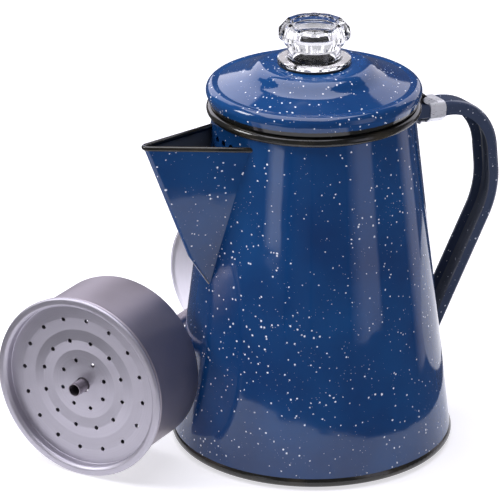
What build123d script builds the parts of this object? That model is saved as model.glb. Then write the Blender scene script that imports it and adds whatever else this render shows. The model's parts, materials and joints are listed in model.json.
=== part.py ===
from build123d import *
import math
import os

# Enamelled steel stove-top coffee percolator, with its pump and basket set lying beside the pot.
# Millimetres. +Z up, origin on the pot's axis at the surface it stands on.
# +X points along the handle and -X along the spout.

# Pot body and its base
rim_z = 185.6
wall_base_r = 75.3
wall_rim_r = 52.7
wall_t = 1.0
wall_bottom_z = 3.6
rim_bead_r = 53.7
rim_bead_wire_r = 2.4
base_bead_r = 72.5
base_bead_wire_r = 3.0
base_bead_z = 4.0
pan_t = 1.0
pan_flat_r = 67.5
pan_corner_z = 4.6
pan_top_z = 9.0
pan_gap = 0.1
pan_bends = (4.0, 2.5)
drill_l = 20.0

# Strainer holes in the wall, inside the spout
strainer_hole_d = 3.8
strainer_pitch = 7.0
strainer_top_z = 174.6
strainer_rows = (3, 4, 3, 2)

# Spout
spout_t = 1.0
spout_tip = (-104.4, 0, 181.6)
spout_knee = (-77.3, 0, 111.7)
spout_foot = (-67.8, 0, 97.0)
spout_top_on_wall = (-49.7, 20.4, 177.2)
spout_keel_r = 2.4
spout_edge_r = 1.4
spout_edge_bend = 2.2
spout_edge_inset = 0.6
spout_edge_reach = 1.1
spout_inner_reach = 1.35
spout_foot_reach = 8.0
spout_open_h = 6.0

# Handle
handle_w = 16.0
handle_d = 7.2
handle_t = 1.2
handle_corner_r = 2.5
handle_start = (50.0, 177.8)
handle_shoulder = (108.5, 174.1)
handle_elbow = (114.4, 118.2)
handle_end = (66.0, 24.0)
handle_bends = (33.7, 50.0)

# Hinge
clip_t = 0.7
clip_start_x = 67.3
clip_length = 9.6
clip_pinch = 3.0
clip_slit = 1.6
clip_lip_run = 3.6
clip_fold_r = 1.0
tab_w = 3.4
tab_line = ((0.5, 0.0), (-2.6, 0.3), (-3.9, -1.0))
tab_bend = 0.9
ear_y = 5.4
ear_l = 6.0
pin_r = 0.8
pin_x = 65.9
pin_z = 178.9
pin_head_r = 1.5
pin_head_t = 0.6
pin_clearance = 0.07
strap_w = 10.2
strap_t = 0.9
strap_run_z = 189.4
strap_top_z = 193.6
strap_bend_x = 56.2
strap_bends = (1.0, 3.0)
strap_slot_h = 2.8
strap_slot_gap = 0.2
barrel_r = pin_r + pin_clearance + strap_t

# Lid
lid_t = 0.9
lid_crown_z = 209.6
lid_crown_r = 28.8
lid_line = ((35.2, 203.6), (50.2, 198.7), (57.5, 199.2), (54.0, 189.2))
lid_bends = (10.0, 14.0, 2.2, 3.6)
lid_hole_r = 14.3
collar_r = 49.6
collar_t = 0.8
collar_bottom_z = 181.5
collar_top_z = 199.3
lid_notch_r = 17.0
lid_notch_w = 9.0

# Knob
knob_sides = 12
knob_flange_r = 19.3
knob_flange_z = 210.9
knob_flange_top_z = 212.8
knob_flange_round = 0.7
knob_neck_r = 13.9
knob_neck_flare = 0.9
knob_neck_top_z = 219.6
knob_waist_z = 225.3
knob_belt_z = 227.3
knob_head_r = 19.2
knob_top_r = 15.6
knob_top_z = 231.8
knob_bottom_z = 204.5
knob_bore_r = 11.4
knob_bore_top_z = 227.6
knob_dish_r = 12.0
knob_dish_depth = 1.0
lug_r = 16.4
lug_w = 8.0
lug_bottom_z = 206.4
lug_top_z = 208.4
gasket_r = 18.9
gasket_gap = 0.3

# Pump and basket set, drawn upright with its foot at z = 0
set_length = 174.0
set_azimuth = 210.85
set_rim_centre = (-134.5, 12.6)
foot_r = 46.75
foot_t = 0.8
foot_lip_r = 0.7
foot_neck_z = 17.5
foot_line = ((12.5, 3.9), (7.4, 21.0), (2.7, 42.7))
foot_bends = (1.6, 12.0, 4.0)
inlet_count = 4
inlet_d = 4.0
inlet_circle_r = 36.0
tube_r = 3.5
tube_bore_r = 3.1
tube_bottom_z = 14.0
tube_tip_z = set_length + 3.0
stop_r = 5.6
stop_h = 2.4
ferrule_h = 3.0
ferrule_t = 1.1

# Basket
basket_r = 46.6
basket_t = 0.8
basket_bottom_z = set_length - 47.4
basket_top_z = set_length - 4.2
basket_bead_r = 1.4
basket_corner_r = 3.0
basket_gap = 0.3
sleeve_r = 4.7
sleeve_bore_r = 3.85
sleeve_h = 13.0
sleeve_flange_w = 2.2
sleeve_flange_t = 0.8
basket_rings = ((10.0, 8), (16.0, 12), (22.0, 16), (28.0, 20), (34.0, 24), (40.0, 28))

# Spreader
spreader_r = 49.5
spreader_t = 0.8
spreader_bead_r = 1.3
spreader_plate_z = set_length - 6.0
spreader_step_z = set_length - 1.6
spreader_shelf_r = 46.2
spreader_well_r = 45.0
spreader_flat_r = 37.0
spreader_dip_r = (30.2, 19.0)
spreader_crest_r = (24.6, 11.0)
spreader_dip = 0.7
spreader_lip_z = spreader_plate_z + 0.3
spreader_hole_r = 4.1
spreader_step_bend = 0.8
spreader_wave_bend = 3.0
spreader_rings = ((13.36, 8), (24.41, 12), (36.34, 16))
perforation_d = 2.3
perforation_phase = 108.8


def wall_radius(z):
    """Outer radius of the tapered wall at height z."""
    return wall_base_r + (wall_rim_r - wall_base_r) * z / rim_z


def spun(profile):
    """Turn a closed profile, drawn as (radius, height), once round the Z axis."""
    return revolve(Plane.XZ * make_face(profile.edges()), Axis.Z)


def spun_sheet(points, bends, thickness):
    """Turn a sheet whose middle line runs through points, with a bend radius at each inner one."""
    strip = trace(FilletPolyline(*points, radius=bends), thickness)
    return revolve(Plane.XZ * strip, Axis.Z)


def ring(inner_r, outer_r, bottom_z, top_z):
    """A plain ring with a square section."""
    corners = [(inner_r, bottom_z), (outer_r, bottom_z), (outer_r, top_z), (inner_r, top_z)]
    return spun(Polyline(*corners, close=True))


def bead(centre_r, centre_z, wire_r):
    """A round bead that runs once round the Z axis."""
    return Pos(0, 0, centre_z) * Torus(centre_r, wire_r)


def hole_ring(radius, count, diameter, bottom_z, height, phase=0.0):
    """Drills that stand on a circle, as one group."""
    drill = Pos(0, 0, bottom_z + height / 2) * Cylinder(diameter / 2, height)
    return [Rot(0, 0, phase - 360 * i / count) * Pos(radius, 0, 0) * drill for i in range(count)]


def pot_cone(bottom_z, top_z, inset=0.0):
    """Solid cone of the wall's outside, or of its inside with inset at the wall's thickness."""
    section = Polyline(
        (0, bottom_z),
        (wall_radius(bottom_z) - inset, bottom_z),
        (wall_radius(top_z) - inset, top_z),
        (0, top_z),
        close=True,
    )
    return spun(section)


def make_pot_wall():
    shell = pot_cone(wall_bottom_z, rim_z) - pot_cone(wall_bottom_z - 1, rim_z + 1, wall_t)
    row_step = strainer_pitch * math.sqrt(3) / 2
    for row, count in enumerate(strainer_rows):
        z = strainer_top_z - row * row_step
        for i in range(count):
            y = (i - (count - 1) / 2) * strainer_pitch
            shell -= Pos(-wall_radius(z), y, z) * Rot(0, 90, 0) * Cylinder(strainer_hole_d / 2, drill_l)
    return shell


def make_base_pan():
    inset = wall_t + pan_t / 2 + pan_gap
    points = [
        (0, pan_t / 2),
        (pan_flat_r, pan_t / 2),
        (wall_radius(pan_corner_z) - inset, pan_corner_z),
        (wall_radius(pan_top_z) - inset, pan_top_z),
    ]
    return spun_sheet(points, pan_bends, pan_t)


def make_base_bead():
    """Rolled joint outside the pan and under the wall's edge."""
    side_r = wall_radius(base_bead_z) - wall_t
    pan_space = Polyline(
        (0, 0),
        (pan_flat_r, 0),
        (side_r, wall_bottom_z),
        (side_r, pan_top_z),
        (0, pan_top_z),
        close=True,
    )
    roll = bead(base_bead_r, base_bead_z, base_bead_wire_r)
    return roll - spun(pan_space) - pot_cone(wall_bottom_z, drill_l)


def make_rim_bead():
    wall_edge = pot_cone(wall_bottom_z, rim_z) - pot_cone(0, rim_z + 1, wall_t)
    return bead(rim_bead_r, rim_z, rim_bead_wire_r) - wall_edge


def spout_wedge():
    """The spout's outer form as a solid that runs well inside the wall."""
    tip = Vector(*spout_tip)
    knee = Vector(*spout_knee)
    foot = Vector(*spout_foot)
    shoulder = Vector(*spout_top_on_wall)
    sides = []
    for mirror in (1, -1):
        corner = Vector(shoulder.X, mirror * shoulder.Y, shoulder.Z)
        sides.append(tip + (corner - tip) * spout_inner_reach)
    back_foot = foot + (foot - knee).normalized() * spout_foot_reach
    near, far = sides
    faces = [
        Face(Wire.make_polygon([tip, near, far])),
        Face(Wire.make_polygon([tip, knee, near])),
        Face(Wire.make_polygon([tip, far, knee])),
        Face(Wire.make_polygon([knee, back_foot, near])),
        Face(Wire.make_polygon([knee, far, back_foot])),
        Face(Wire.make_polygon([near, back_foot, far])),
    ]
    return Solid(Shell(faces))


def spout_form(inset):
    """The wedge with its keel rounded, moved in so that its sides lie inset below the outside."""
    tip = Vector(*spout_tip)
    corner = Vector(*spout_top_on_wall)
    spread = math.atan2(corner.Y - tip.Y, corner.X - tip.X)
    wedge = spout_wedge()
    keel = [e for e in wedge.edges() if abs(e.center().Y) < 0.01 and e.center().X < spout_foot[0]]
    wedge = fillet(keel, spout_keel_r - inset)
    return Pos(inset / math.sin(spread), 0, 0) * wedge


def spout_edge():
    """Roll along the spout's two top edges and round its tip."""
    inset = Vector(spout_edge_inset, 0, 0)
    tip = Vector(*spout_tip)
    inner = tip + (Vector(*spout_top_on_wall) - tip) * spout_edge_reach
    mirrored = Vector(inner.X, -inner.Y, inner.Z)
    path = FilletPolyline(inner + inset, tip + inset, mirrored + inset, radius=spout_edge_bend)
    return sweep(Plane(path @ 0, z_dir=path % 0) * Circle(spout_edge_r), path)


def make_spout():
    inside = spout_form(spout_t)
    mouth = inside.faces().sort_by(Axis.Z)[-1]
    upward = Vector(*spout_tip) - Vector(*spout_knee)
    shell = spout_form(0) - inside - extrude(mouth, amount=spout_open_h, dir=upward)
    return shell + spout_edge() - pot_cone(wall_bottom_z, rim_z)


def handle_line():
    """Middle of the handle's outer face, seen from the side, as a path in the XZ plane."""
    points = [Vector(x, 0, z) for x, z in (handle_start, handle_shoulder, handle_elbow, handle_end)]
    return FilletPolyline(*points, radius=handle_bends)


def handle_top_direction():
    start = Vector(handle_start[0], 0, handle_start[1])
    shoulder = Vector(handle_shoulder[0], 0, handle_shoulder[1])
    return (shoulder - start).normalized()


def handle_plane(x):
    """Plane across the handle's top run at x, with its own Y along the handle's outward side."""
    direction = handle_top_direction()
    along = (x - handle_start[0]) / direction.X
    origin = Vector(handle_start[0], 0, handle_start[1]) + direction * along
    return Plane(origin, x_dir=(0, 1, 0), z_dir=direction)


def make_handle():
    """Channel strap, open toward the hand's inside."""
    half = handle_w / 2 - handle_t / 2
    top = -handle_t / 2
    points = [(-half, -handle_d), (-half, top), (half, top), (half, -handle_d)]
    section = trace(FilletPolyline(*points, radius=handle_corner_r), handle_t)
    strap = sweep((handle_plane(handle_start[0]) * section).faces(), handle_line())
    return strap - pot_cone(0, rim_z)


def clip_low():
    """Depth of the clip's pinched lips under the handle's outer face."""
    return -handle_d - clip_t / 2 - clip_pinch


def make_clip_band():
    """Sheet wrapped round the handle, its two lips pinched together below."""
    half = handle_w / 2 + clip_t / 2
    fold = -handle_d
    bottom = clip_low()
    side = [(half, clip_t / 2), (half, fold), (half - clip_lip_run, bottom), (clip_slit / 2, bottom)]
    points = [(-x, y) for x, y in reversed(side)] + side
    corner = handle_corner_r + handle_t / 2 + clip_t / 2
    bends = [clip_fold_r, clip_fold_r, corner, corner, clip_fold_r, clip_fold_r]
    section = trace(FilletPolyline(*points, radius=bends), clip_t)
    plane = handle_plane(clip_start_x)
    return extrude(plane * section, amount=clip_length, dir=plane.z_dir)


def make_clip_ear():
    """Ear that carries the pin, in front of the clip's top."""
    top = handle_plane(clip_start_x).origin.Z + clip_t / 2
    root = Pos(clip_start_x + ear_l / 2, top - clip_t) * Rectangle(ear_l, clip_t)
    outline = make_hull([*(Pos(pin_x, pin_z) * Circle(barrel_r)).edges(), *root.edges()])
    return extrude(Plane.XZ * outline, amount=clip_t)


def make_hook_tab():
    """Small tab at the pot side of the clip's near lip, bent down at its end."""
    bottom = clip_low()
    path = FilletPolyline(*[(x, bottom + y) for x, y in tab_line], radius=tab_bend)
    tab = extrude(Plane.XZ * trace(path, clip_t), amount=tab_w)
    plane = handle_plane(clip_start_x)
    frame = Plane(plane.origin, x_dir=plane.z_dir, z_dir=plane.z_dir.cross(Vector(0, 1, 0)))
    return frame.location * Pos(0, -clip_slit / 2, 0) * tab


def make_hinge_clip():
    clip = make_clip_band() + make_hook_tab()
    for y in (-ear_y, ear_y + clip_t):
        clip += Pos(0, y, 0) * make_clip_ear()
    clip -= Pos(pin_x, 0, pin_z) * Rot(90, 0, 0) * Cylinder(pin_r, drill_l)
    rounded = RectangleRounded(handle_w, handle_d, handle_corner_r + handle_t / 2)
    channel = Pos(0, -handle_d / 2) * rounded + Pos(0, -handle_d * 0.75) * Rectangle(handle_w, handle_d / 2)
    plane = handle_plane(handle_start[0])
    run = clip_start_x + 2 * clip_length - handle_start[0]
    return clip - extrude(plane * channel, amount=run, dir=plane.z_dir)


def make_hinge_pin():
    outer = ear_y + clip_t
    pin = Cylinder(pin_r, 2 * outer)
    for side in (1, -1):
        pin += Pos(0, 0, side * (outer + pin_head_t / 2)) * Cylinder(pin_head_r, pin_head_t)
    return Pos(pin_x, 0, pin_z) * Rot(90, 0, 0) * pin


def make_lid_shell():
    mid_z = lid_crown_z - lid_t / 2
    points = [(lid_hole_r, mid_z), (lid_crown_r, mid_z), *lid_line]
    shell = spun_sheet(points, lid_bends, lid_t)
    notch_h = 4 * lid_t
    shell -= Pos(0, 0, mid_z) * (Box(2 * lid_notch_r, lid_notch_w, notch_h) & Cylinder(lid_notch_r, notch_h))
    slot_l = 2 * (lid_line[-1][0] - collar_r)
    slot = Box(slot_l, strap_w + 2 * strap_slot_gap, strap_slot_h)
    return shell - Pos(lid_line[-1][0] + 2, 0, strap_run_z - 0.4) * slot


def make_lid_collar():
    outer = ring(collar_r - collar_t, collar_r, collar_bottom_z, collar_top_z)
    return (outer - make_lid_shell()).solids().sort_by(Axis.Z)[0]


def make_lid_hinge_strap():
    """Strip from the collar, out under the lid's edge and round the pin."""
    wrap_r = barrel_r - strap_t / 2
    run = pin_x - strap_bend_x
    drop = strap_run_z - pin_z
    length = math.sqrt(run**2 + drop**2 - wrap_r**2)
    angle = math.atan2(drop, run) - math.asin(wrap_r / math.hypot(run, drop))
    tab_x = collar_r + strap_t / 2
    points = [
        (tab_x, strap_top_z),
        (tab_x, strap_run_z),
        (strap_bend_x, strap_run_z),
        (strap_bend_x + length * math.cos(angle), strap_run_z - length * math.sin(angle)),
    ]
    strip = trace(FilletPolyline(*points, radius=strap_bends), strap_t)
    strap = extrude(Plane.XZ * strip, amount=strap_w / 2, both=True)
    barrel = Cylinder(barrel_r, strap_w)
    bore = Cylinder(barrel_r - strap_t, strap_w)
    turn = Pos(pin_x, 0, pin_z) * Rot(90, 0, 0)
    return strap + turn * barrel - turn * bore


def knob_slice(radius, z):
    return Pos(0, 0, z) * RegularPolygon(radius, knob_sides)


def upright(radius, bottom_z, top_z):
    """Cylinder on the Z axis between two heights."""
    return Pos(0, 0, (bottom_z + top_z) / 2) * Cylinder(radius, top_z - bottom_z)


def make_knob():
    """Clear knob: flange and neck, a twelve-sided head, a bore from below and two locking lugs."""
    foot = upright(knob_neck_r, knob_bottom_z, knob_neck_top_z + 1)
    flange = upright(knob_flange_r, knob_flange_z, knob_flange_top_z)
    flange = fillet(flange.edges().sort_by(Axis.Z)[-1], knob_flange_round)
    levels = [
        (knob_neck_r + knob_neck_flare, knob_neck_top_z),
        (knob_head_r, knob_waist_z),
        (knob_head_r, knob_belt_z),
        (knob_top_r, knob_top_z),
    ]
    head = Part()
    for low, high in zip(levels[:-1], levels[1:]):
        head += loft([knob_slice(*low), knob_slice(*high)], ruled=True)
    lug_h = lug_top_z - lug_bottom_z
    lugs = Pos(0, 0, lug_bottom_z + lug_h / 2) * (Box(lug_w, 2 * lug_r, lug_h) & Cylinder(lug_r, lug_h))
    bore = upright(knob_bore_r, knob_bottom_z, knob_bore_top_z)
    dish = upright(knob_dish_r, knob_top_z - knob_dish_depth, knob_top_z)
    return foot + flange + head + lugs - bore - dish


def make_knob_gasket():
    return ring(knob_neck_r, gasket_r, lid_crown_z + gasket_gap, knob_flange_z)


def set_location():
    """Where the set lies: its rim bead and its foot's rolled lip both touch the floor."""
    contact_l = set_length - spreader_bead_r - foot_lip_r
    tilt = math.atan((spreader_r - foot_r) / contact_l)
    azimuth = math.radians(set_azimuth)
    heading = Vector(math.cos(azimuth), math.sin(azimuth), 0)
    up = heading * math.cos(tilt) + Vector(0, 0, math.sin(tilt))
    bead_circle_r = spreader_r - spreader_bead_r
    rim_height = bead_circle_r * math.cos(tilt) + spreader_bead_r * (1 + math.sin(tilt))
    foot_centre = Vector(*set_rim_centre, rim_height) - up * set_length
    return Plane(foot_centre, x_dir=Vector(0, 0, 1).cross(heading), z_dir=up).location


def make_pump_foot():
    """Bell with a neck round the tube, a rolled lip and water inlets."""
    line = [(radius, z) for z, radius in foot_line]
    points = [(line[0][0], foot_neck_z), *line, (foot_r - foot_lip_r, foot_lip_r)]
    foot = spun_sheet(points, foot_bends, foot_t) + bead(foot_r - foot_lip_r, foot_lip_r, foot_lip_r)
    return foot - hole_ring(inlet_circle_r, inlet_count, inlet_d, 0, foot_neck_z, 45)


def make_foot_ferrule():
    inner = tube_r + foot_t
    return ring(inner, inner + ferrule_t, foot_neck_z - ferrule_h, foot_neck_z)


def make_pump_tube():
    return ring(tube_bore_r, tube_r, tube_bottom_z, tube_tip_z)


def make_stem_stop():
    top = basket_bottom_z - basket_gap
    return ring(tube_r, stop_r, top - stop_h, top)


def make_basket_cup():
    side_r = basket_r - basket_t / 2
    floor_z = basket_bottom_z + basket_t / 2
    points = [(sleeve_r, floor_z), (side_r, floor_z), (side_r, basket_top_z)]
    cup = spun_sheet(points, [basket_corner_r], basket_t)
    cup += bead(side_r + basket_bead_r, basket_top_z, basket_bead_r)
    drills = []
    for radius, count in basket_rings:
        drills += hole_ring(radius, count, perforation_d, basket_bottom_z - 1, 3)
    return cup - drills


def make_basket_sleeve():
    tube = ring(sleeve_bore_r, sleeve_r, basket_bottom_z, basket_bottom_z + sleeve_h)
    flange_z = basket_bottom_z + basket_t
    return tube + ring(sleeve_bore_r, sleeve_r + sleeve_flange_w, flange_z, flange_z + sleeve_flange_t)


def spreader_line():
    """Middle of the spreader's sheet from its rim inward: a step, a flat, two dips and the hole's lip."""
    top_z = set_length - spreader_t / 2
    low_z = spreader_plate_z - spreader_dip
    points = [
        (spreader_r - spreader_bead_r, top_z),
        (spreader_shelf_r, top_z),
        (spreader_well_r, spreader_step_z),
        (spreader_well_r, spreader_plate_z),
        (spreader_flat_r, spreader_plate_z),
    ]
    for dip_r, crest_r in zip(spreader_dip_r, spreader_crest_r):
        points += [(dip_r, low_z), (crest_r, spreader_plate_z)]
    return [*points, (spreader_hole_r, spreader_lip_z)]


def make_spreader():
    bends = [spreader_step_bend] * 3 + [spreader_wave_bend] * 5
    plate = spun_sheet(spreader_line(), bends, spreader_t)
    plate += bead(spreader_r - spreader_bead_r, set_length - spreader_bead_r, spreader_bead_r)
    drills = []
    for radius, count in spreader_rings:
        drills += hole_ring(radius, count, perforation_d, spreader_plate_z - 3, 6, perforation_phase)
    return plate - drills


standing = {
    "pot_wall": make_pot_wall,
    "base_pan": make_base_pan,
    "base_bead": make_base_bead,
    "rim_bead": make_rim_bead,
    "spout": make_spout,
    "handle": make_handle,
    "hinge_clip": make_hinge_clip,
    "hinge_pin": make_hinge_pin,
    "lid_shell": make_lid_shell,
    "lid_collar": make_lid_collar,
    "lid_hinge_strap": make_lid_hinge_strap,
    "knob": make_knob,
    "knob_gasket": make_knob_gasket,
}

lying = {
    "pump_foot": make_pump_foot,
    "foot_ferrule": make_foot_ferrule,
    "pump_tube": make_pump_tube,
    "stem_stop": make_stem_stop,
    "basket_cup": make_basket_cup,
    "basket_sleeve": make_basket_sleeve,
    "spreader": make_spreader,
}

os.makedirs("parts", exist_ok=True)
for name, make in standing.items():
    export_step(make(), f"parts/{name}.step")
for name, make in lying.items():
    export_step(set_location() * make(), f"parts/{name}.step")
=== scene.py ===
import json
import math

import bmesh
import bpy
from mathutils import Matrix, Vector
from mathutils.geometry import intersect_point_line


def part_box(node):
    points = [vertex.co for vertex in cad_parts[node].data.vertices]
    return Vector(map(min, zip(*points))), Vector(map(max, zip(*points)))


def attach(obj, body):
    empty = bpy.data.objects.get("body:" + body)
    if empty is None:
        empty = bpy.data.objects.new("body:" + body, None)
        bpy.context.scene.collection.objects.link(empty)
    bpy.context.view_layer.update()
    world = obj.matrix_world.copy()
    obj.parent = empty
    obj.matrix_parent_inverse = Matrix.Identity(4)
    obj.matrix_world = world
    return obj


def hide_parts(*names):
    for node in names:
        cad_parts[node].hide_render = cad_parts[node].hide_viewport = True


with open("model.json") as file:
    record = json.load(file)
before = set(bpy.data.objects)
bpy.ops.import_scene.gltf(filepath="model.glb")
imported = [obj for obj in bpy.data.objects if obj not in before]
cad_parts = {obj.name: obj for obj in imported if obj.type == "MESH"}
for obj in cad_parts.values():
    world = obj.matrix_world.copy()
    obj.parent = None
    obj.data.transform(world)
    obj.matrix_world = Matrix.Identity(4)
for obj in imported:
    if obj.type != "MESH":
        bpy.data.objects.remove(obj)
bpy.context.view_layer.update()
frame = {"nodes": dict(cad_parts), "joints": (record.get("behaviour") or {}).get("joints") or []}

# Enamelled coffee percolator with its pump and basket set lying beside it.
# Metres, in the CAD frame: +Z up, +X toward the handle, origin on the pot's axis at the floor.

MM = 0.001
nodes = frame["nodes"]

# Colours are linear RGB.
COBALT = (0.007, 0.062, 0.205)
COBALT_DEEP = (0.006, 0.036, 0.135)
# The handle's navy is greyer than the cobalt body: painted shade for its less lit side, and a painted
# lavender sheen.
HANDLE_SHEEN_NAVY = (0.050, 0.068, 0.118)
HANDLE_SHEEN_NAVY_DEEP = (0.038, 0.052, 0.095)
# The handle's channel is painted lighter than the inside grey, as painted light in its shaded hollow.
CHANNEL_LIT_GREY = (0.130, 0.142, 0.165)
INSIDE_GREY = (0.095, 0.105, 0.120)
SOOT = (0.060, 0.066, 0.078)
SPECK_WHITE = (0.86, 0.90, 1.0)
TRIM_BLACK = (0.012, 0.012, 0.010)
TRIM_BROWN = (0.045, 0.038, 0.026)
# One aluminium in three tones. The first is darkened and tinted purple, as painted shade and a painted
# reflection of the blue pot. The pale and bright ones are painted light on the spreader and the pump's
# foot.
ALUMINIUM_SHADED = (0.38, 0.345, 0.385)
ALUMINIUM_LIT = (0.52, 0.50, 0.56)
ALUMINIUM_BRIGHT_LIT = (0.80, 0.78, 0.85)
STEEL = (0.95, 0.96, 0.99)
STRAP_DARK = (0.020, 0.019, 0.020)
STRAP_WORN = (0.20, 0.19, 0.18)
CLEAR = (0.87, 0.87, 0.88)
RUBBER_DARK = (0.012, 0.012, 0.012)
RUBBER_LIGHT = (0.03, 0.03, 0.03)
# The gasket's up-facing faces are painted pale, a painted highlight on the dark rubber under the clear
# knob.
GASKET_HIGHLIGHT_DARK = (0.34, 0.32, 0.31)
GASKET_HIGHLIGHT_LIGHT = (0.46, 0.44, 0.43)
PAPER_DARK = (0.55, 0.55, 0.56)
PAPER_LIGHT = (0.58, 0.58, 0.59)
PAPER_GLOW = (0.97, 0.96, 1.0)
DOME_GLOW = (0.95, 0.95, 1.0)
WORLD_GLOW = (0.90, 0.88, 1.0)


# ---------------------------------------------------------------- shader nodes

# Most values of a noise texture lie between these two, and its colours round the middle one.
NOISE_LOW = 0.3
NOISE_HIGH = 0.7
NOISE_MIDDLE = (0.5, 0.5, 0.5)


def rgba(colour):
    return (*colour, 1.0)


def scaled(colour, factor):
    return tuple(min(1.0, channel * factor) for channel in colour)


def add_node(tree, kind, links=None, values=None, **properties):
    """Add a node, set its properties and input values, and link its inputs."""
    node = tree.nodes.new(kind)
    for key, value in properties.items():
        setattr(node, key, value)
    for key, value in (values or {}).items():
        node.inputs[key].default_value = value
    for key, socket in (links or {}).items():
        tree.links.new(socket, node.inputs[key])
    return node


def fill_inputs(tree, node, sources):
    """Give a node's first inputs their sources, each a constant or a socket."""
    for socket, source in zip(node.inputs, sources):
        if isinstance(source, bpy.types.NodeSocket):
            tree.links.new(source, socket)
        else:
            socket.default_value = source


def math_node(tree, operation, *sources):
    node = add_node(tree, "ShaderNodeMath", operation=operation)
    fill_inputs(tree, node, sources)
    return node.outputs[0]


def vector_node(tree, operation, *sources, output="Vector"):
    node = add_node(tree, "ShaderNodeVectorMath", operation=operation)
    fill_inputs(tree, node, sources)
    return node.outputs[output]


def object_coordinates(tree):
    return add_node(tree, "ShaderNodeTexCoord").outputs["Object"]


def noise(tree, place, scale, detail, roughness=0.5, output="Fac"):
    values = {"Scale": scale, "Detail": detail, "Roughness": roughness}
    return add_node(tree, "ShaderNodeTexNoise", {"Vector": place}, values).outputs[output]


def remap(tree, socket, low, high, to_low=0.0, to_high=1.0):
    """Map a value from one range to another, clamped."""
    values = {"From Min": low, "From Max": high, "To Min": to_low, "To Max": to_high}
    node = add_node(tree, "ShaderNodeMapRange", {"Value": socket}, values, clamp=True)
    return node.outputs["Result"]


def stretch(tree, grain, to_low=0.0, to_high=1.0):
    """Spread the usual range of a noise over another range."""
    return remap(tree, grain, NOISE_LOW, NOISE_HIGH, to_low, to_high)


def mix_colours(tree, factor, first, second):
    """Mix two colours, each a constant or a socket."""
    node = add_node(tree, "ShaderNodeMix", {"Factor": factor}, data_type="RGBA")
    for key, source in (("A", first), ("B", second)):
        socket = next(s for s in node.inputs if s.name == key and s.type == "RGBA")
        if isinstance(source, tuple):
            socket.default_value = rgba(source)
        else:
            tree.links.new(source, socket)
    return next(s for s in node.outputs if s.type == "RGBA")


def bump(tree, shader, height, distance):
    """Shade the surface as if a height from 0 to 1 raised it by a distance in metres."""
    node = add_node(tree, "ShaderNodeBump", {"Height": height}, {"Distance": distance})
    tree.links.new(node.outputs["Normal"], shader.inputs["Normal"])


def new_material(name):
    """A material with only a Principled shader, and its node tree and shader."""
    material = bpy.data.materials.new(name)
    material.use_nodes = True
    tree = material.node_tree
    shader = next(n for n in tree.nodes if n.type == "BSDF_PRINCIPLED")
    return material, tree, shader


def new_glow(name, colour):
    """A material with only an emission shader, and its node tree and shader."""
    material = bpy.data.materials.new(name)
    material.use_nodes = True
    tree = material.node_tree
    tree.nodes.clear()
    emission = add_node(tree, "ShaderNodeEmission", None, {"Color": rgba(colour)})
    output = add_node(tree, "ShaderNodeOutputMaterial")
    tree.links.new(emission.outputs[0], output.inputs["Surface"])
    return material, tree, emission


# ---------------------------------------------------------------- materials

# Specks: spacing, largest radius, and smallest radius as a share of the largest.
COMMON_SPECKS = (3.5 * MM, 0.60 * MM, 0.6)
LARGE_SPECKS = (13.0 * MM, 0.80 * MM, 0.6)
DUST_SPECKS = (1.9 * MM, 0.24 * MM, 0.3)
DUST_STRENGTH = 0.4
SPECK_RELIEF = 0.06
# A speck is solid to this share of its radius and fades out from there.
SPECK_SOLID = 0.72
# Patches of larger and smaller specks: their scale for a spacing of 1, and the noise range used.
PATCH_SCALE = 0.11
PATCH_LOW = 0.38
PATCH_HIGH = 0.62

WARP_SCALE = 900.0
WARP_SIZE = 0.7 * MM
# Below this height the lid's in-turned skirt is painted black, as painted shade.
LID_SHADE_Z = 191.3 * MM
SKIRT_SHADE_FADE = 0.3 * MM
ENAMEL_IOR = 1.52
TRIM_IOR = 1.55
KNOB_IOR = 1.49

# Lowest and highest roughness of a finish.
ENAMEL_ROUGHNESS = (0.05, 0.09)
TRIM_ROUGHNESS = (0.10, 0.20)
STEEL_ROUGHNESS = (0.26, 0.34)
STRAP_ROUGHNESS = (0.22, 0.42)
RUBBER_ROUGHNESS = 0.5
PAPER_ROUGHNESS = 0.9
# How far a stain lowers and raises the roughness of spun metal.
STAIN_POLISH = 0.04
STAIN_DULLING = 0.05
# The plating on the clip is partly dulled.
STEEL_METALLIC = 0.55

# Texture ranges over which a finish changes from its first colour to its second.
TRIM_THINNING = (0.45, 0.75)
STRAP_WEAR = (0.52, 0.70)
RING_RANGE = (0.35, 0.65)
SPANGLE_RANGE = (0.1, 0.7)
SPANGLE_SCALE = 420.0

STAIN_SHADE = 0.90
RING_SHADE = 1.10
RING_SHARE = 0.35
SPANGLE_SHADE = 0.94
STREAK_SCALE = (260.0, 260.0, 2400.0)
PAPER_STRENGTH = 0.66


def warp(tree, place):
    """Shift coordinates by a fine noise, so that specks aren't quite round or edges quite straight."""
    grain = noise(tree, place, WARP_SCALE, detail=1.0, output="Color")
    centred = vector_node(tree, "SUBTRACT", grain, NOISE_MIDDLE)
    shift = vector_node(tree, "MULTIPLY", centred, (WARP_SIZE, WARP_SIZE, WARP_SIZE))
    return vector_node(tree, "ADD", place, shift)


def specks(tree, place, spacing, radius, smallest):
    """Mask of round specks, whose sizes vary by patches of noise."""
    values = {"Scale": 1 / spacing, "Randomness": 1.0}
    cells = add_node(tree, "ShaderNodeTexVoronoi", {"Vector": place}, values).outputs["Distance"]
    patches = noise(tree, place, PATCH_SCALE / spacing, detail=1.0)
    full_size = radius / spacing
    size = remap(tree, patches, PATCH_LOW, PATCH_HIGH, full_size * smallest, full_size)
    return remap(tree, math_node(tree, "DIVIDE", cells, size), SPECK_SOLID, 1.0, 1.0, 0.0)


def speck_mask(tree, place, strength):
    """Mask of three sizes of specks together."""
    common = specks(tree, place, *COMMON_SPECKS)
    large = specks(tree, place, *LARGE_SPECKS)
    dust = math_node(tree, "MULTIPLY", specks(tree, place, *DUST_SPECKS), DUST_STRENGTH)
    mask = math_node(tree, "MAXIMUM", math_node(tree, "MAXIMUM", common, large), dust)
    return math_node(tree, "MULTIPLY", mask, strength)


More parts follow.
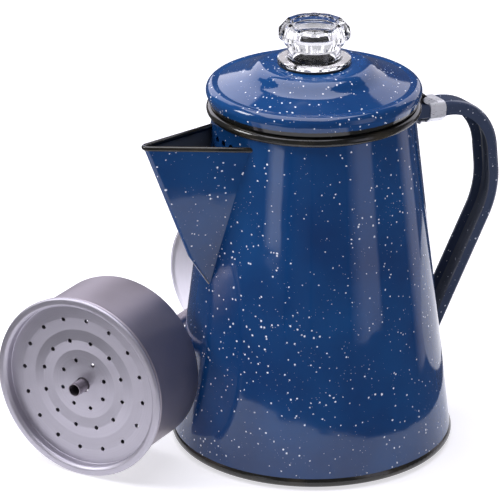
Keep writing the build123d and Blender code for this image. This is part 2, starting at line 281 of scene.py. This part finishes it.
def make_enamel(name, colour, deep, speck_strength=1.0, shade_z=None):
    """Fired enamel: a deep colour, white specks and a slightly wavy gloss.

    Below the given height the enamel is painted black, as painted shade on the lid's in-turned skirt.
    """
    material, tree, shader = new_material(name)
    place = object_coordinates(tree)
    warped = warp(tree, place)
    mask = speck_mask(tree, warped, speck_strength)
    body = mix_colours(tree, stretch(tree, noise(tree, place, scale=22.0, detail=3.0)), deep, colour)
    shade = mix_colours(tree, mask, body, SPECK_WHITE)
    if shade_z is not None:
        # Painted shade: the lowest band of the lid's skirt turns black.
        height = add_node(tree, "ShaderNodeSeparateXYZ", {0: warped}).outputs["Z"]
        painted_shade = remap(tree, height, shade_z - SKIRT_SHADE_FADE, shade_z + SKIRT_SHADE_FADE, 1.0, 0.0)
        shade = mix_colours(tree, painted_shade, shade, TRIM_BLACK)
    tree.links.new(shade, shader.inputs["Base Color"])
    gloss = stretch(tree, noise(tree, place, scale=60.0, detail=3.0), *ENAMEL_ROUGHNESS)
    tree.links.new(gloss, shader.inputs["Roughness"])
    shader.inputs["IOR"].default_value = ENAMEL_IOR
    raised = math_node(tree, "MULTIPLY", mask, SPECK_RELIEF)
    waves = math_node(tree, "ADD", noise(tree, place, scale=70.0, detail=1.0), raised)
    bump(tree, shader, waves, 0.12 * MM)
    return material


def make_trim():
    """Black enamel on the rolled edges, a little brown where it is thin."""
    material, tree, shader = new_material("black_trim")
    place = object_coordinates(tree)
    thin = remap(tree, noise(tree, place, scale=55.0, detail=3.0), *TRIM_THINNING)
    shade = mix_colours(tree, thin, TRIM_BLACK, TRIM_BROWN)
    tree.links.new(shade, shader.inputs["Base Color"])
    gloss = stretch(tree, noise(tree, place, scale=180.0, detail=2.0), *TRIM_ROUGHNESS)
    tree.links.new(gloss, shader.inputs["Roughness"])
    shader.inputs["IOR"].default_value = TRIM_IOR
    bump(tree, shader, noise(tree, place, scale=160.0, detail=2.0), 0.10 * MM)
    return material


def make_spun_metal(name, colour, roughness, ring_height, centre, axis):
    """Satin aluminium turned about an axis: fine rings round it and soft stains."""
    material, tree, shader = new_material(name)
    place = object_coordinates(tree)
    from_centre = vector_node(tree, "SUBTRACT", place, centre)
    along = vector_node(tree, "DOT_PRODUCT", from_centre, axis, output="Value")
    across = vector_node(tree, "CROSS_PRODUCT", from_centre, axis)
    radius = vector_node(tree, "LENGTH", across, output="Value")
    ring_place = add_node(tree, "ShaderNodeCombineXYZ", {"X": radius, "Y": along}).outputs[0]
    rings = noise(tree, ring_place, scale=2600.0, detail=3.0, roughness=0.7)
    stains = noise(tree, place, scale=28.0, detail=4.0)
    stained = mix_colours(tree, stretch(tree, stains), scaled(colour, STAIN_SHADE), colour)
    ring_mask = remap(tree, rings, *RING_RANGE, 0.0, RING_SHARE)
    shade = mix_colours(tree, ring_mask, stained, scaled(colour, RING_SHADE))
    tree.links.new(shade, shader.inputs["Base Color"])
    shader.inputs["Metallic"].default_value = 1.0
    satin = stretch(tree, stains, roughness - STAIN_POLISH, roughness + STAIN_DULLING)
    tree.links.new(satin, shader.inputs["Roughness"])
    bump(tree, shader, rings, ring_height)
    return material


def make_steel():
    """Bright plated sheet with fine level streaks and a faint spangle."""
    material, tree, shader = new_material("bright_steel")
    place = object_coordinates(tree)
    mapping = add_node(tree, "ShaderNodeMapping", {"Vector": place}, {"Scale": STREAK_SCALE})
    streaks = noise(tree, mapping.outputs[0], scale=1.0, detail=3.0)
    cells = add_node(tree, "ShaderNodeTexVoronoi", {"Vector": place}, {"Scale": SPANGLE_SCALE})
    spangle = remap(tree, cells.outputs["Distance"], *SPANGLE_RANGE)
    shade = mix_colours(tree, spangle, scaled(STEEL, SPANGLE_SHADE), STEEL)
    tree.links.new(shade, shader.inputs["Base Color"])
    shader.inputs["Metallic"].default_value = STEEL_METALLIC
    tree.links.new(stretch(tree, streaks, *STEEL_ROUGHNESS), shader.inputs["Roughness"])
    bump(tree, shader, streaks, 0.003 * MM)
    return material


def make_strap_steel():
    """Dark, slightly worn hinge strap."""
    material, tree, shader = new_material("strap_steel")
    place = object_coordinates(tree)
    worn = remap(tree, noise(tree, place, scale=420.0, detail=4.0), *STRAP_WEAR)
    shade = mix_colours(tree, worn, STRAP_DARK, STRAP_WORN)
    tree.links.new(shade, shader.inputs["Base Color"])
    tree.links.new(remap(tree, worn, 0.0, 1.0, *STRAP_ROUGHNESS), shader.inputs["Roughness"])
    tree.links.new(worn, shader.inputs["Metallic"])
    bump(tree, shader, noise(tree, place, scale=700.0, detail=2.0), 0.05 * MM)
    return material


def make_glass():
    """Clear moulded knob with a faint mould waviness."""
    material, tree, shader = new_material("clear_knob")
    place = object_coordinates(tree)
    shader.inputs["Base Color"].default_value = rgba(CLEAR)
    shader.inputs["Roughness"].default_value = 0.0
    shader.inputs["IOR"].default_value = KNOB_IOR
    shader.inputs["Transmission Weight"].default_value = 1.0
    bump(tree, shader, noise(tree, place, scale=120.0, detail=1.0), 0.08 * MM)
    return material


def make_rubber(name, dark, light):
    """Dull rubber with a fine grain from a dark tone to a light one."""
    material, tree, shader = new_material(name)
    grain = noise(tree, object_coordinates(tree), scale=900.0, detail=3.0)
    tree.links.new(mix_colours(tree, grain, dark, light), shader.inputs["Base Color"])
    shader.inputs["Roughness"].default_value = RUBBER_ROUGHNESS
    bump(tree, shader, grain, 0.06 * MM)
    return material


def make_floor_material():
    """Pale paper, lit a little from within so that it stays white under soft light."""
    material, tree, shader = new_material("studio_paper")
    fibre = noise(tree, object_coordinates(tree), scale=40.0, detail=4.0)
    tree.links.new(mix_colours(tree, fibre, PAPER_DARK, PAPER_LIGHT), shader.inputs["Base Color"])
    shader.inputs["Roughness"].default_value = PAPER_ROUGHNESS
    shader.inputs["Specular IOR Level"].default_value = 0.0
    shader.inputs["Emission Color"].default_value = rgba(PAPER_GLOW)
    shader.inputs["Emission Strength"].default_value = PAPER_STRENGTH
    return material


# ---------------------------------------------------------------- CAD nodes

SPOUT_TIP = Vector((-0.1038, 0.0, 0.1816))
SPOUT_SHOULDER = Vector((-0.0491, 0.0204, 0.1772))
SPOUT_ROLL_R = 1.7 * MM
# How far past the tip the roll is still painted, as a share of the edge's length.
SPOUT_TIP_OVERRUN = 0.05
# The middle of the spout's channel, as a share of its depth back from the wall side: at the
# spout's foot, and how much more at its top.
CHANNEL_MIDDLE_FOOT = 0.35
CHANNEL_MIDDLE_RISE = 0.25
# The handle's channel opens toward this height on the pot's axis.
HANDLE_FACES_Z = 0.10
HANDLE_CHANNEL_COSINE = 0.35
# Least lean of a normal toward the pot's axis for a face to look inward, and toward up or down
# for it to look that way.
INWARD_COSINE = 0.2
FLAT_COSINE = 0.5
# Most upward lean of the inner side of the lid's edge.
LID_WALL_UP_COSINE = 0.3


def centre_of(node):
    low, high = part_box(node)
    return (low + high) / 2


def set_axis():
    """The pump set's axis: its direction comes from the basket's slide joint."""
    joint = next(j for j in frame["joints"] if j["name"] == "basket_slide")
    return Vector(joint["axis"]).normalized()


def paint(node, *materials):
    """Give a CAD node its materials, the first on every face."""
    mesh = nodes[node].data
    mesh.materials.clear()
    for material in materials:
        mesh.materials.append(material)
    for polygon in mesh.polygons:
        polygon.material_index = 0


def paint_more(node, material, is_more):
    """Paint the faces of a CAD node that is_more picks with a further material."""
    mesh = nodes[node].data
    mesh.materials.append(material)
    for polygon in mesh.polygons:
        if is_more(Vector(polygon.center), Vector(polygon.normal)):
            polygon.material_index = len(mesh.materials) - 1


def paint_inside(node, outer, inner, is_inner):
    """Paint a CAD node with one material, and the faces that is_inner picks with another."""
    paint(node, outer)
    paint_more(node, inner, is_inner)


def faces_axis(centre, normal):
    """True on a face that looks toward the pot's axis."""
    outward = Vector((centre.x, centre.y, 0))
    return normal.dot(outward) < -INWARD_COSINE * outward.length


def faces_under_lid(centre, normal):
    """True on the lid's underside and on the inner side of its edge."""
    inner_wall = faces_axis(centre, normal) and normal.z < LID_WALL_UP_COSINE
    return inner_wall or normal.z < -FLAT_COSINE


def faces_up(centre, normal):
    return normal.z > FLAT_COSINE


def faces_spout_channel(centre, normal):
    """True on the inner side of the spout's fold, which looks toward the channel's middle."""
    low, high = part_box("spout")
    share = (centre.z - low.z) / (high.z - low.z)
    depth = (CHANNEL_MIDDLE_FOOT + CHANNEL_MIDDLE_RISE * share) * (high.x - low.x)
    middle = Vector((high.x - depth, 0, centre.z))
    return (centre - middle).dot(normal) < 0


def faces_spout_roll(centre, normal):
    """True on the roll along the spout's two top edges."""
    place = Vector((centre.x, abs(centre.y), centre.z))
    near, share = intersect_point_line(place, SPOUT_TIP, SPOUT_SHOULDER)
    return (place - near).length < SPOUT_ROLL_R and share > -SPOUT_TIP_OVERRUN


def faces_handle_channel(centre, normal):
    """True on the handle's channel side, which looks toward the pot."""
    toward_pot = Vector((-centre.x, 0, HANDLE_FACES_Z - centre.z)).normalized()
    return normal.dot(toward_pot) > HANDLE_CHANNEL_COSINE


def paint_pot():
    """Enamel, black trim, hinge steel and gasket rubber on the pot and its lid, with painted shade on
    the lid's skirt, a painted sheen and painted light on the handle, and a painted highlight on the
    gasket.
    """
    enamel = make_enamel("blue_enamel", COBALT, COBALT_DEEP)
    lid_enamel_with_shade = make_enamel("lid_enamel_with_shade", COBALT, COBALT_DEEP, shade_z=LID_SHADE_Z)
    handle_shade_sheen_enamel = make_enamel("handle_shade_sheen_enamel", HANDLE_SHEEN_NAVY, HANDLE_SHEEN_NAVY_DEEP, 0.8)
    channel_lit_enamel = make_enamel("channel_lit_enamel", CHANNEL_LIT_GREY, SOOT, 0.6)
    dark_enamel = make_enamel("dark_enamel", INSIDE_GREY, SOOT, 0.35)
    trim = make_trim()
    steel = make_steel()
    strap_steel = make_strap_steel()
    rubber = make_rubber("gasket_rubber", RUBBER_DARK, RUBBER_LIGHT)
    highlight_rubber = make_rubber("gasket_highlight", GASKET_HIGHLIGHT_DARK, GASKET_HIGHLIGHT_LIGHT)

    paint_inside("pot_wall", enamel, dark_enamel, faces_axis)
    paint_inside("spout", enamel, dark_enamel, faces_spout_channel)
    paint_more("spout", trim, faces_spout_roll)
    # The handle's own navy is painted shade and painted sheen, and its lighter channel is painted
    # light.
    paint_inside("handle", handle_shade_sheen_enamel, channel_lit_enamel, faces_handle_channel)
    paint_inside("lid_shell", lid_enamel_with_shade, dark_enamel, faces_under_lid)
    paint("base_pan", dark_enamel)
    paint("lid_collar", dark_enamel)
    paint("base_bead", trim)
    paint("rim_bead", trim)
    paint("hinge_clip", steel)
    paint("hinge_pin", steel)
    paint("lid_hinge_strap", strap_steel)
    # Painted highlight: the gasket's up-facing faces are pale, its other faces dark rubber.
    paint_inside("knob_gasket", rubber, highlight_rubber, faces_up)


def paint_set():
    """Spun aluminium on the pump, basket and spreader in three tones of one metal: a darkened purple
    tone as painted shade and painted reflection of the pot, and two lighter tones as painted light.
    """
    turned = (centre_of("pump_tube"), set_axis())
    spun = make_spun_metal("spun_aluminium_shaded", ALUMINIUM_SHADED, 0.48, 0.010 * MM, *turned)
    foot_lit_metal = make_spun_metal("foot_aluminium_lit", ALUMINIUM_BRIGHT_LIT, 0.50, 0.006 * MM, *turned)
    spun_lit = make_spun_metal("spreader_aluminium_lit", ALUMINIUM_LIT, 0.50, 0.008 * MM, *turned)
    for node in ("pump_tube", "stem_stop", "foot_ferrule", "basket_cup", "basket_sleeve"):
        paint(node, spun)
    paint("pump_foot", foot_lit_metal)
    paint("spreader", spun_lit)


paint_pot()
paint_set()


# ---------------------------------------------------------------- clear knob

# In millimetres. Each pair is a radius and a height. The neck and flats run upward, the dish
# inward, and the bore down to the open bottom.
KNOB_ROUND = 48
KNOB_SIDES = 12
KNOB_NECK = (
    (13.9, 204.5), (13.9, 211.0), (19.1, 211.0), (19.3, 211.3), (19.3, 212.2), (19.1, 212.6),
    (18.6, 212.8), (15.0, 212.8), (14.2, 213.1), (13.9, 213.8), (13.9, 218.6), (14.2, 219.4),
)
KNOB_FLATS = ((14.9, 219.9), (19.2, 225.3), (19.2, 227.3))
KNOB_TABLE = (15.7, 231.8)
KNOB_DISH = ((12.6, 231.8), (12.1, 231.5), (11.9, 231.0), (8.0, 230.7), (1.0, 230.6))
KNOB_BORE = ((1.0, 228.3), (8.0, 228.1), (10.6, 227.7), (11.4, 226.6), (11.4, 204.5))
HALF_SIDE = 0.5
CUT_ABOVE_Z = 219.5
CUT_OUTSIDE_R = 15.0
CUT_LEAST_ANGLE = 0.15
CUT_BEVEL = 0.28
SMOOTH_BELOW = math.radians(11)
LUG_Y = 15.0
LUG_Z = 207.4
LUG_SIZE = (8.0, 2.6, 2.0)


def add_shape(name, shape, material):
    """Turn a bmesh into an object with one material, and free the bmesh."""
    mesh = bpy.data.meshes.new(name)
    shape.to_mesh(mesh)
    shape.free()
    mesh.materials.append(material)
    made = bpy.data.objects.new(name, mesh)
    bpy.context.scene.collection.objects.link(made)
    return made


def ring_of(shape, count, radius, height, turn=0.0):
    """Vertices round the pot's axis, in millimetres, and the edges that join them."""
    verts = []
    for i in range(count):
        angle = 2 * math.pi * (i + turn) / count
        place = Vector((radius * math.cos(angle), radius * math.sin(angle), height)) * MM
        verts.append(shape.verts.new(place))
    edges = [shape.edges.new((verts[i], verts[(i + 1) % count])) for i in range(count)]
    return verts, edges


def join_facets(shape, low, high):
    """Triangles between two rings turned half a side from each other."""
    count = len(low)
    for i in range(count):
        after = (i + 1) % count
        shape.faces.new((low[i], low[after], high[after]))
        shape.faces.new((low[i], high[after], high[i]))


def is_cut_edge(edge):
    """True on an edge of the head's outside where two flats meet."""
    if min(v.co.z for v in edge.verts) <= CUT_ABOVE_Z * MM:
        return False
    radius = min(Vector((v.co.x, v.co.y)).length for v in edge.verts)
    if radius <= CUT_OUTSIDE_R * MM or len(edge.link_faces) != 2:
        return False
    return edge.calc_face_angle() > CUT_LEAST_ANGLE


def add_knob_shell(shape):
    """The closed skin of the knob: neck, flats, table, dish, and the bore from below."""
    rings = [ring_of(shape, KNOB_ROUND, *pair) for pair in KNOB_NECK]
    rings += [ring_of(shape, KNOB_SIDES, *pair, HALF_SIDE) for pair in KNOB_FLATS]
    table = ring_of(shape, KNOB_SIDES, *KNOB_TABLE)
    dish = [ring_of(shape, KNOB_ROUND, *pair) for pair in KNOB_DISH]
    bore = [ring_of(shape, KNOB_ROUND, *pair) for pair in KNOB_BORE]
    for chain in (rings, [table, *dish], [*bore, rings[0]]):
        for low, high in zip(chain[:-1], chain[1:]):
            bmesh.ops.bridge_loops(shape, edges=low[1] + high[1])
    join_facets(shape, rings[-1][0], table[0])
    shape.faces.new(dish[-1][0])
    shape.faces.new(list(reversed(bore[0][0])))
    bmesh.ops.recalc_face_normals(shape, faces=shape.faces)


def add_lugs(shape):
    """The two bayonet lugs on the knob's neck."""
    for sign in (1, -1):
        lug = Matrix.Translation(Vector((0, sign * LUG_Y, LUG_Z)) * MM)
        lug @= Matrix.Diagonal((*(side * MM for side in LUG_SIZE), 1.0))
        bmesh.ops.create_cube(shape, size=1.0, matrix=lug)


def add_knob():
    """Hollow moulded knob: round flange and neck, and a head cut in flats and triangles."""
    shape = bmesh.new()
    add_knob_shell(shape)
    cut = [edge for edge in shape.edges if is_cut_edge(edge)]
    bmesh.ops.bevel(shape, geom=cut, offset=CUT_BEVEL * MM, segments=2, profile=0.5, affect="EDGES")
    add_lugs(shape)
    knob = add_shape("knob_glass", shape, make_glass())
    for polygon in knob.data.polygons:
        polygon.use_smooth = True
    knob.data.set_sharp_from_angle(angle=SMOOTH_BELOW)
    knob.visible_shadow = False
    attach(knob, "knob")
    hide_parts("knob")


add_knob()


# ---------------------------------------------------------------- stage, lights and camera

# The camera looks along +Y of its own level frame, which is turned about Z from the CAD frame.
VIEW_TURN = math.radians(-29.55)
CAMERA_PLACE = (-0.03325, -1.63925, 0.78949)
CAMERA_PITCH = math.radians(22.68)
LENS_MM = 241.33536
SENSOR_MM = 36.0
CLIP_END = 50.0

FLOOR_SIZE = 12.0
FLOOR_Z = -0.4 * MM
# Floor discs that the enamel reflects: centre in the camera's level frame, and radius.
NEAR_FLOORS = (((-0.055, -0.045, -0.0002), 0.195), ((0.20, 0.20, -0.0001), 0.14))
DOME_R = 5.0
DOME_STRENGTH = 0.78
WORLD_STRENGTH = 0.12
LIGHTS_AIM = Vector((0, 0, 0.11))
# A card is at full strength between these two shares of its width from its middle line.
CARD_FULL_FROM = -0.38
CARD_FULL_TO = 0.05

# Name, direction in the camera's level frame (+X right, +Y away), distance, width, height, watts, tint.
SOFTBOXES = (
    ("overhead", (-0.14, 0.03, 1.0), 1.3, 1.40, 1.25, 21.0, (0.93, 0.92, 1.0)),
    ("back_left", (-0.42, 0.78, 0.46), 1.5, 0.9, 1.0, 6.0, (0.92, 0.90, 1.0)),
    ("back_right", (0.55, 0.75, 0.42), 1.5, 1.0, 1.1, 5.5, (0.92, 0.90, 1.0)),
    ("key_left", (-0.98, -0.08, 0.62), 1.6, 0.5, 0.5, 11.0, (0.98, 0.98, 1.0)),
)
# Name, direction in that frame, distance, height of its middle, width, height, strength, tint.
CARDS = (
    ("right_card", (0.73, -0.68, 0), 0.45, 0.20, 0.26, 0.40, 1.2, (0.86, 0.84, 1.0)),
    ("side_card", (0.95, 0.31, 0), 0.38, 0.08, 0.18, 0.26, 0.9, (0.92, 0.88, 1.0)),
    ("front_card", (-0.24, -0.97, 0), 0.50, 0.06, 0.22, 0.12, 0.15, (0.86, 0.86, 1.0)),
    ("left_card", (-0.643, -0.766, 0), 0.50, 0.085, 0.17, 0.07, 2.2, (0.86, 0.88, 1.0)),
)


def from_camera_frame(vector):
    return Matrix.Rotation(VIEW_TURN, 3, "Z") @ Vector(vector)


def add_plane(name, centre, width, depth, facing):
    """A flat rectangle whose front looks along facing."""
    mesh = bpy.data.meshes.new(name)
    half_w = width / 2
    half_d = depth / 2
    verts = [(-half_w, -half_d, 0), (half_w, -half_d, 0), (half_w, half_d, 0), (-half_w, half_d, 0)]
    mesh.from_pydata(verts, [], [(0, 1, 2, 3)])
    plane = bpy.data.objects.new(name, mesh)
    bpy.context.scene.collection.objects.link(plane)
    plane.location = centre
    plane.rotation_euler = Vector(facing).to_track_quat("Z", "Y").to_euler()
    return plane


def add_softbox(name, direction, distance, width, height, power, tint):
    """Rectangular area light that looks at the pot from a direction."""
    light = bpy.data.lights.new(name, "AREA")
    light.shape = "RECTANGLE"
    light.size = width
    light.size_y = height
    light.energy = power
    light.color = tint
    lamp = bpy.data.objects.new(name, light)
    bpy.context.scene.collection.objects.link(lamp)
    way = from_camera_frame(direction).normalized()
    lamp.location = LIGHTS_AIM + way * distance
    lamp.rotation_euler = way.to_track_quat("Z", "Y").to_euler()
    lamp.visible_camera = False


def card_glow(tree, width, strength):
    """Strength across a card: a firm edge at its -X side, and a long fade to its +X side."""
    across = add_node(tree, "ShaderNodeSeparateXYZ", {0: object_coordinates(tree)}).outputs["X"]
    firm = remap(tree, across, -width / 2, width * CARD_FULL_FROM)
    soft = remap(tree, across, width * CARD_FULL_TO, width / 2, 1.0, 0.0)
    return math_node(tree, "MULTIPLY", math_node(tree, "MULTIPLY", firm, soft), strength)


def add_card(name, direction, distance, height_z, width, height, strength, tint):
    """An upright glowing card that only glossy surfaces see."""
    place = from_camera_frame(direction).normalized() * distance
    card = add_plane(name, place + Vector((0, 0, height_z)), width, height, -place)
    material, tree, emission = new_glow(name, tint)
    tree.links.new(card_glow(tree, width, strength), emission.inputs["Strength"])
    card.data.materials.append(material)
    card.visible_camera = False
    card.visible_diffuse = False
    card.visible_shadow = False
    card.visible_transmission = False


def add_lights():
    for box in SOFTBOXES:
        add_softbox(*box)
    for card in CARDS:
        add_card(*card)


def add_floor():
    """Near discs that the enamel reflects, and a wide sheet that it doesn't."""
    paper = make_floor_material()
    wide = add_plane("floor", (0, 0, FLOOR_Z), FLOOR_SIZE, FLOOR_SIZE, (0, 0, 1))
    wide.visible_glossy = False
    wide.data.materials.append(paper)
    for i, (place, radius) in enumerate(NEAR_FLOORS):
        shape = bmesh.new()
        bmesh.ops.create_circle(shape, cap_ends=True, segments=96, radius=radius)
        near = add_shape("floor_near_%d" % i, shape, paper)
        near.location = from_camera_frame(place)


def add_dome():
    """A pale room all round, which shows through the clear knob but not in the enamel."""
    shape = bmesh.new()
    bmesh.ops.create_icosphere(shape, subdivisions=4, radius=DOME_R)
    material, _, emission = new_glow("dome", DOME_GLOW)
    emission.inputs["Strength"].default_value = DOME_STRENGTH
    dome = add_shape("dome", shape, material)
    dome.visible_diffuse = False
    dome.visible_glossy = False
    dome.visible_shadow = False


def add_world():
    """A faint even light from all round."""
    world = bpy.data.worlds.new("studio")
    bpy.context.scene.world = world
    world.use_nodes = True
    background = world.node_tree.nodes["Background"]
    background.inputs["Color"].default_value = rgba(WORLD_GLOW)
    background.inputs["Strength"].default_value = WORLD_STRENGTH


def add_camera():
    """A long lens that looks down on the pot and the set beside it."""
    data = bpy.data.cameras.new("camera")
    data.sensor_width = SENSOR_MM
    data.lens = LENS_MM
    data.clip_end = CLIP_END
    camera = bpy.data.objects.new("camera", data)
    bpy.context.scene.collection.objects.link(camera)
    camera.location = from_camera_frame(CAMERA_PLACE)
    camera.rotation_euler = (math.pi / 2 - CAMERA_PITCH, 0, VIEW_TURN)
    bpy.context.scene.camera = camera


add_floor()
add_dome()
add_world()
add_lights()
add_camera()
bpy.context.scene.view_settings.view_transform = "Standard"
